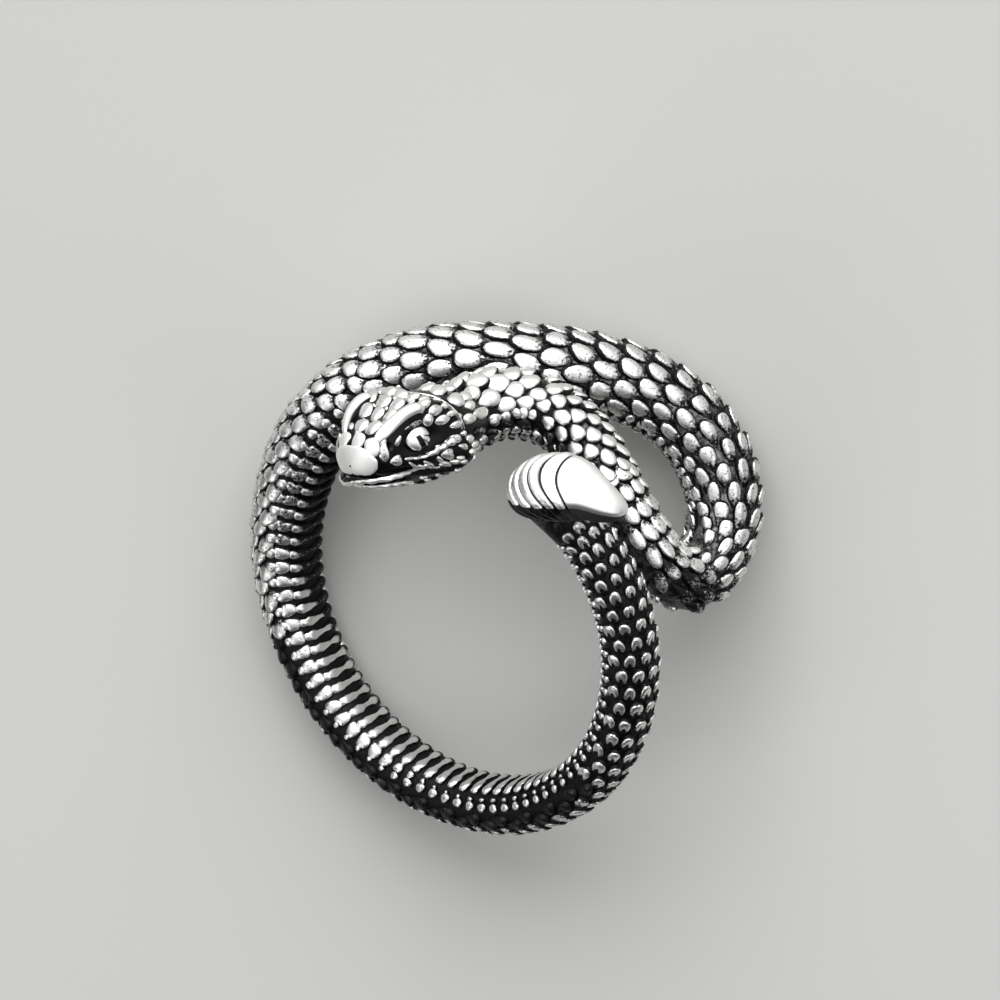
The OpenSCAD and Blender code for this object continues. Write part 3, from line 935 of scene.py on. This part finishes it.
snout = {
    "scales": ((0.935, -8, 0.44, 0.37, 0), (0.932, -46, 0.54, 0.36, -59), (0.935, 35, 0.54, 0.34, 41)),
    # the front shield: how far back it starts at each fold, how far forward it goes, its height
    "fold": (-5, 20, 60, 76, 96, 115, 133, 175),
    "start": (0.955, 0.953, 0.94, 0.924, 0.93, 0.955, 0.988, 1.001),
    "front": 1.0098,
    "high": 0.1,
    "foot": -0.3,
    "columns": 120,
}
crownStyle = {
    "base": 0.0, "tilt": 0.13, "dome": 0.13, "flat": 2.6, "taper": 0.15, "square": 2.3, "ragged": 0.06,
    "oxideAndShade": 0.55, "oxideAndShadeFrom": 0.1, "oxideAndShadeTo": 1,
}
smallStyle = {"base": -0.02, "tilt": 0.04, "dome": 0.06, "taper": 0.1, "oxideAndShade": 0.5, "shine": 0.75}
lidStyle = {"base": -0.05, "tilt": 0, "dome": 0.05, "flat": 3, "taper": 0.05, "oxideAndShade": 0.2, "shine": 0.42}
templeStyle = {
    "base": -0.02, "tilt": 0.05, "dome": 0.1, "flat": 3, "taper": 0.05, "square": 1.7, "ragged": 0.03,
    "oxideAndShade": 0.2,
}
plateStyle = {
    "base": -0.02, "tilt": 0.02, "dome": 0.075, "taper": 0.05, "square": 2.2, "ragged": 0.12, "oxideAndShade": 0.2,
}
lipStyle = {"base": 0.0, "tilt": 0.02, "dome": 0.06, "taper": 0, "square": 2.6, "ragged": 0.14, "oxideAndShade": 0.2}
snoutStyle = {"base": 0.03, "tilt": 0.02, "dome": 0.1, "taper": -0.1, "square": 2.5, "oxideAndShade": 0}


def bothSides(rows):
    spots = []
    for row in rows:
        turn = row[4] if len(row) > 4 else 0
        for hand in (-1, 1):
            side = -row[1] if hand < 0 else row[1] + 2 * head["turned"]
            spots.append(headSpot(row[0], side, row[2], row[3], hand * turn, 0.5 + 0.5 * rng.random()))
    return spots


def grown(spots, size):
    return [(s, side, long * size, wide * size, turn, tone) for s, side, long, wide, turn, tone in spots]


def chinRows():
    chin = plates["chin"]
    return [(chin["first"] - chin["pitch"] * n, *chin["row"]) for n in range(chin["count"])]


crownPile, platePile, snoutPile = newPile(), newPile(), newPile()
layShields(crownPile, [headSpot(*row) for row in crown["scales"]], crownStyle)
layShields(crownPile, [headSpot(*row) for row in crown["small"]], smallStyle)
layShields(platePile, grown(bothSides(plates["temple"]), plates["templeGrown"]), templeStyle)
layShields(platePile, grown(bothSides(plates["cheek"]), plates["cheekGrown"]), plateStyle)
layShields(platePile, bothSides(plates["lid"]), lidStyle)
layShields(platePile, bothSides([*plates["lips"], *chinRows()]), lipStyle)
layShields(snoutPile, [headSpot(*row) for row in snout["scales"]], snoutStyle)
makePiece("crownScales", crownPile, barSilver)
makePiece("headPlates", platePile, scaleSilver)


def addFrontShield(pile):
    side = circle(snout["columns"])
    t = np.concatenate([[0, 0.02, 0.06, 0.12], np.linspace(0.2, 1, 22)])[:, None]
    start = np.interp(headFold(side), snout["fold"], snout["start"])
    h = start + (snout["front"] - start) * np.sin(t * math.pi / 2) ** 0.8
    rim = ease(t, 0, 0.12)
    rise = snout["foot"] + (snout["high"] - snout["foot"]) * rim ** 0.5
    addSheet(pile, skin(headAt(h), side, rise), np.clip(rim * 1.3 - 0.2, 0, 1), 1.0)
    last = pile["count"] - side.size
    pile["faces"].append(list(range(last, pile["count"])))


addFrontShield(snoutPile)
makePiece("snoutPlates", snoutPile, dullSilver)

# heavy ridges over the eyes, from the snout back, and the knobbly ridges of the lips
brow = {
    # h, side, half width, half height, the last two in mm
    "path": (
        (0.905, 43, 0.18, 0.07), (0.87, 40, 0.3, 0.15), (0.82, 38.5, 0.32, 0.2), (0.76, 37, 0.31, 0.25),
        (0.7, 36, 0.31, 0.28), (0.64, 36, 0.31, 0.29), (0.595, 38.5, 0.28, 0.27), (0.575, 43, 0.18, 0.16),
    ),
    "farPath": (
        (0.9, 25, 0.12, 0.1), (0.865, 29, 0.2, 0.22), (0.8, 33, 0.22, 0.32), (0.735, 33.5, 0.23, 0.38),
        (0.675, 33.5, 0.23, 0.4), (0.63, 32, 0.22, 0.38), (0.6, 30, 0.18, 0.28),
    ),
}
lipRidge = {
    "path": (
        (0.78, 88.5, 0.04, 0.05), (0.72, 92, 0.06, 0.08), (0.67, 94, 0.08, 0.11),
        (0.62, 93.5, 0.09, 0.12), (0.57, 91.5, 0.11, 0.14), (0.52, 89.5, 0.13, 0.15),
        (0.47, 87, 0.17, 0.18), (0.42, 84, 0.22, 0.2), (0.38, 82, 0.12, 0.1),
    ),
    "knobs": 0.3,
}
# the jaw's rim runs right round the front; its last two numbers are mm off the skin and forward
jawRim = {
    "path": (
        (0.6, 119, 0.05, 0.07, 0, 0), (0.67, 118, 0.08, 0.1, 0, 0), (0.74, 116, 0.11, 0.15, 0.02, 0),
        (0.82, 114.5, 0.12, 0.18, 0.03, 0), (0.92, 116, 0.13, 0.2, 0.04, 0),
        (0.97, 136, 0.15, 0.2, 0.05, 0), (0.985, 158, 0.16, 0.22, 0.06, 0.05),
        (0.985, 180, 0.17, 0.22, 0.06, 0.12), (0.975, 195, 0.17, 0.22, 0.08, 0.2),
        (0.95, 213, 0.16, 0.24, 0.1, 0.25), (0.93, 226, 0.15, 0.24, 0.1, 0.25),
        (0.88, 234, 0.13, 0.22, 0.06, 0.12), (0.78, 236, 0.12, 0.18, 0.03, 0),
        (0.68, 234, 0.08, 0.12, 0, 0),
    ),
    "hands": (-1,),
    "steps": 130,
    "beat": 2.2,
    "knobs": 0.16,
}
chinRim = {
    "path": (
        (0.68, 136, 0.05, 0.06), (0.74, 134.5, 0.09, 0.12), (0.82, 134, 0.1, 0.14),
        (0.89, 138, 0.1, 0.15), (0.93, 152, 0.1, 0.14), (0.945, 168, 0.1, 0.13), (0.945, 178, 0.1, 0.13),
    ),
    "knobs": 0.3,
}
ridgeLook = {"columns": 24, "steps": 60, "shine": (0.6, 1.2, 1), "tone": 0.95}


def addRidges(pile, ridge):
    knobs, beat = ridge.get("knobs", 0), ridge.get("beat", 1)
    fine = np.linspace(0, 1, ridge.get("steps", ridgeLook["steps"]))
    for hand in ridge.get("hands", (-1, 1)):
        path = ridge["path"] if hand < 0 else ridge.get("farPath", ridge["path"])
        rows = np.array(path, float)
        rows = np.hstack([rows, np.zeros((len(rows), 6 - rows.shape[1]))])
        rows[:, 1] = -rows[:, 1] if hand < 0 else rows[:, 1] + 2 * head["turned"]
        smooth = smoothPath(rows, 12)
        u = np.linspace(0, 1, len(smooth))
        h, side, wide, high, lift, ahead = [np.interp(fine, u, smooth[:, n]) for n in range(6)]
        wide = wide * (1 + knobs * np.sin(31 * beat * fine) * np.sin(17 * beat * fine + 1))
        high = high * (1 + knobs * np.sin(37 * beat * fine + 2))
        s = headAt(h)
        spot = skin(s, side, 0.02 + lift) + ahead[:, None] * spineAt(bodyLen)[1]
        above = unit(skin(s, side, 0.3 + lift) - skin(s, side, lift))
        addTube(pile, spot, above, wide, high, ridgeLook)


browPile, lipPile, jawPile = newPile(), newPile(), newPile()
addRidges(browPile, brow)
addRidges(lipPile, lipRidge)
addRidges(jawPile, jawRim)
addRidges(jawPile, chinRim)
makePiece("browRidges", browPile, satinSilver)
makePiece("lipRidges", lipPile, scaleSilver)
makePiece("jawRims", jawPile, satinSilver)

# a thin rim where the crown ends over the neck
hoodRim = {"reach": 74, "steps": 120, "half": 0.05, "columns": 12, "shine": (0.5, 1, 0.9), "tone": 0.8}


def makeHoodRim():
    side = np.linspace(-hoodRim["reach"], hoodRim["reach"], hoodRim["steps"])
    s = headAt(occiput(headFold(side)) + 0.012)
    spot = skin(s, side, 0.0)
    above = unit(skin(s, side, 0.3) - spot)
    thinned = 0.25 + 0.75 * (1 - np.abs(side / hoodRim["reach"]) ** 4)
    half = hoodRim["half"] * thinned
    pile = newPile()
    addTube(pile, spot, above, half, 1.2 * half, hoodRim)
    return pile


makePiece("hoodRim", makeHoodRim(), rubbedSilver)

# eyes: a bright iris with a slit, low in its black socket
eye = {
    "at": (0.63, 69),
    "radius": 0.66,
    "sunk": 0.5,
    "slit": 0.14,
    "lean": 8,
    "gaze": (0.2, 0.38),
    "cuts": (196, 232),
    "rings": 44,
    "columns": 56,
}


def makeEyes():
    pile = newPile()
    h, down = eye["at"]
    s = headAt(h)
    lean = math.radians(eye["lean"])
    for hand in (-1, 1):
        around = -down if hand < 0 else down + 2 * head["turned"]
        spot = skin(s, around, -headMesh["sink"])
        above = unit(skin(s, around, 0.3) - spot)
        ahead = squareTo(spineAt(s)[1], above)
        upward = squareTo(skin(s, around - hand * 2) - skin(s, around + hand * 2), above, ahead)
        centre = spot - above * (eye["radius"] - eye["sunk"])
        above = unit(above + eye["gaze"][0] * upward + eye["gaze"][1] * ahead)
        ahead = squareTo(ahead, above)
        upward = squareTo(upward, above, ahead)
        polar = np.radians(np.linspace(1, 120, eye["rings"]))[:, None]
        turn = np.radians(circle(eye["columns"]))
        x = np.sin(polar) * np.cos(turn)
        y = np.sin(polar) * np.sin(turn)
        z = np.cos(polar)
        off = x * math.cos(lean) - y * math.sin(lean)
        wide = eye["slit"] * (1 - 0.6 * y)
        iris = np.maximum(ease(np.abs(off), wide, wide + 0.09), ease(y, -0.02, 0.12))
        # cuts in the iris run out from the slit
        for cut in eye["cuts"]:
            iris = iris * (1 - 0.9 * bump(np.degrees(turn), cut, 9) * ease(np.sin(polar), 0.35, 0.55))
        r = eye["radius"] * (1 - 0.12 * (1 - iris) * (z > 0))
        points = centre + (r * x)[..., None] * ahead + (r * y)[..., None] * upward
        points = points + (eye["radius"] * 0.4 + 0.6 * r * z)[..., None] * above
        shine = iris * (1 - ease(np.sqrt(x ** 2 + y ** 2), 0.9, 0.98)) * (z > 0)
        addSheet(pile, points, shine, 1.0, caps=True)
    return pile


makePiece("eyes", makeEyes(), satinSilver)

# Table, paper and lamps
paperLook = bpy.data.materials.new("palePaper")
paperLook.use_nodes = True
paperTree = paperLook.node_tree
paper = paperTree.nodes["Principled BSDF"]
paper.inputs["Roughness"].default_value = 0.85
paperNoise = put(paperTree, "TexNoise", (-500, 0))
paperNoise.inputs["Scale"].default_value = 60
paperGreys = ((0.44, 0.435, 0.42, 1), (0.47, 0.465, 0.45, 1))
paperShade = blend(paperTree, (-250, 0), paperNoise.outputs["Fac"], *paperGreys)
paperTree.links.new(paperShade, paper.inputs["Base Color"])
tableHalf = 1.5
tableDrop = 0.00002
corners = [(x * tableHalf, y * tableHalf, 0) for x, y in ((-1, -1), (1, -1), (1, 1), (-1, 1))]
tableMesh = bpy.data.meshes.new("table")
tableMesh.from_pydata(corners, [], [(0, 1, 2, 3)])
table = bpy.data.objects.new("table", tableMesh)
table.location.z = -tableDrop
tableMesh.materials.append(paperLook)
scene.collection.objects.link(table)

lamps = {
    "key": {"at": (0.03, 0.5, 0.34), "size": 0.6, "power": 4.6},
    "fill": {"at": (-0.35, -0.3, 0.45), "size": 0.4, "power": 1.0},
    "side": {"at": (0.45, 0.0, 0.3), "size": 0.25, "power": 0.3},
}
for name, lamp in lamps.items():
    light = bpy.data.lights.new(name, "AREA")
    light.energy = lamp["power"]
    light.size = lamp["size"]
    holder = bpy.data.objects.new(name, light)
    holder.location = lamp["at"]
    holder.rotation_euler = (Vector((0, 0, 0.008)) - Vector(lamp["at"])).to_track_quat("-Z", "Y").to_euler()
    scene.collection.objects.link(holder)
world = bpy.data.worlds.new("studio")
world.use_nodes = True
worldTree = world.node_tree
sky = worldTree.nodes["Background"]
sky.inputs["Color"].default_value = (0.95, 0.97, 1, 1)
skyDirection = put(worldTree, "TexCoord", (-900, 0))
skyDot = put(worldTree, "VectorMath", (-650, 0), operation="DOT_PRODUCT")
skyDot.inputs[1].default_value = (0.03, 0.8, 0.6)
worldTree.links.new(skyDirection.outputs["Generated"], skyDot.inputs[0])
skyFade = put(worldTree, "MapRange", (-400, 0), interpolation_type="SMOOTHSTEP")
for key, value in {"From Min": 0.15, "From Max": 0.85, "To Min": 0.03, "To Max": 1.35}.items():
    skyFade.inputs[key].default_value = value
worldTree.links.new(skyDot.outputs["Value"], skyFade.inputs["Value"])
worldTree.links.new(skyFade.outputs["Result"], sky.inputs["Strength"])
scene.world = world
scene.view_settings.view_transform = "Standard"
print("studio set")
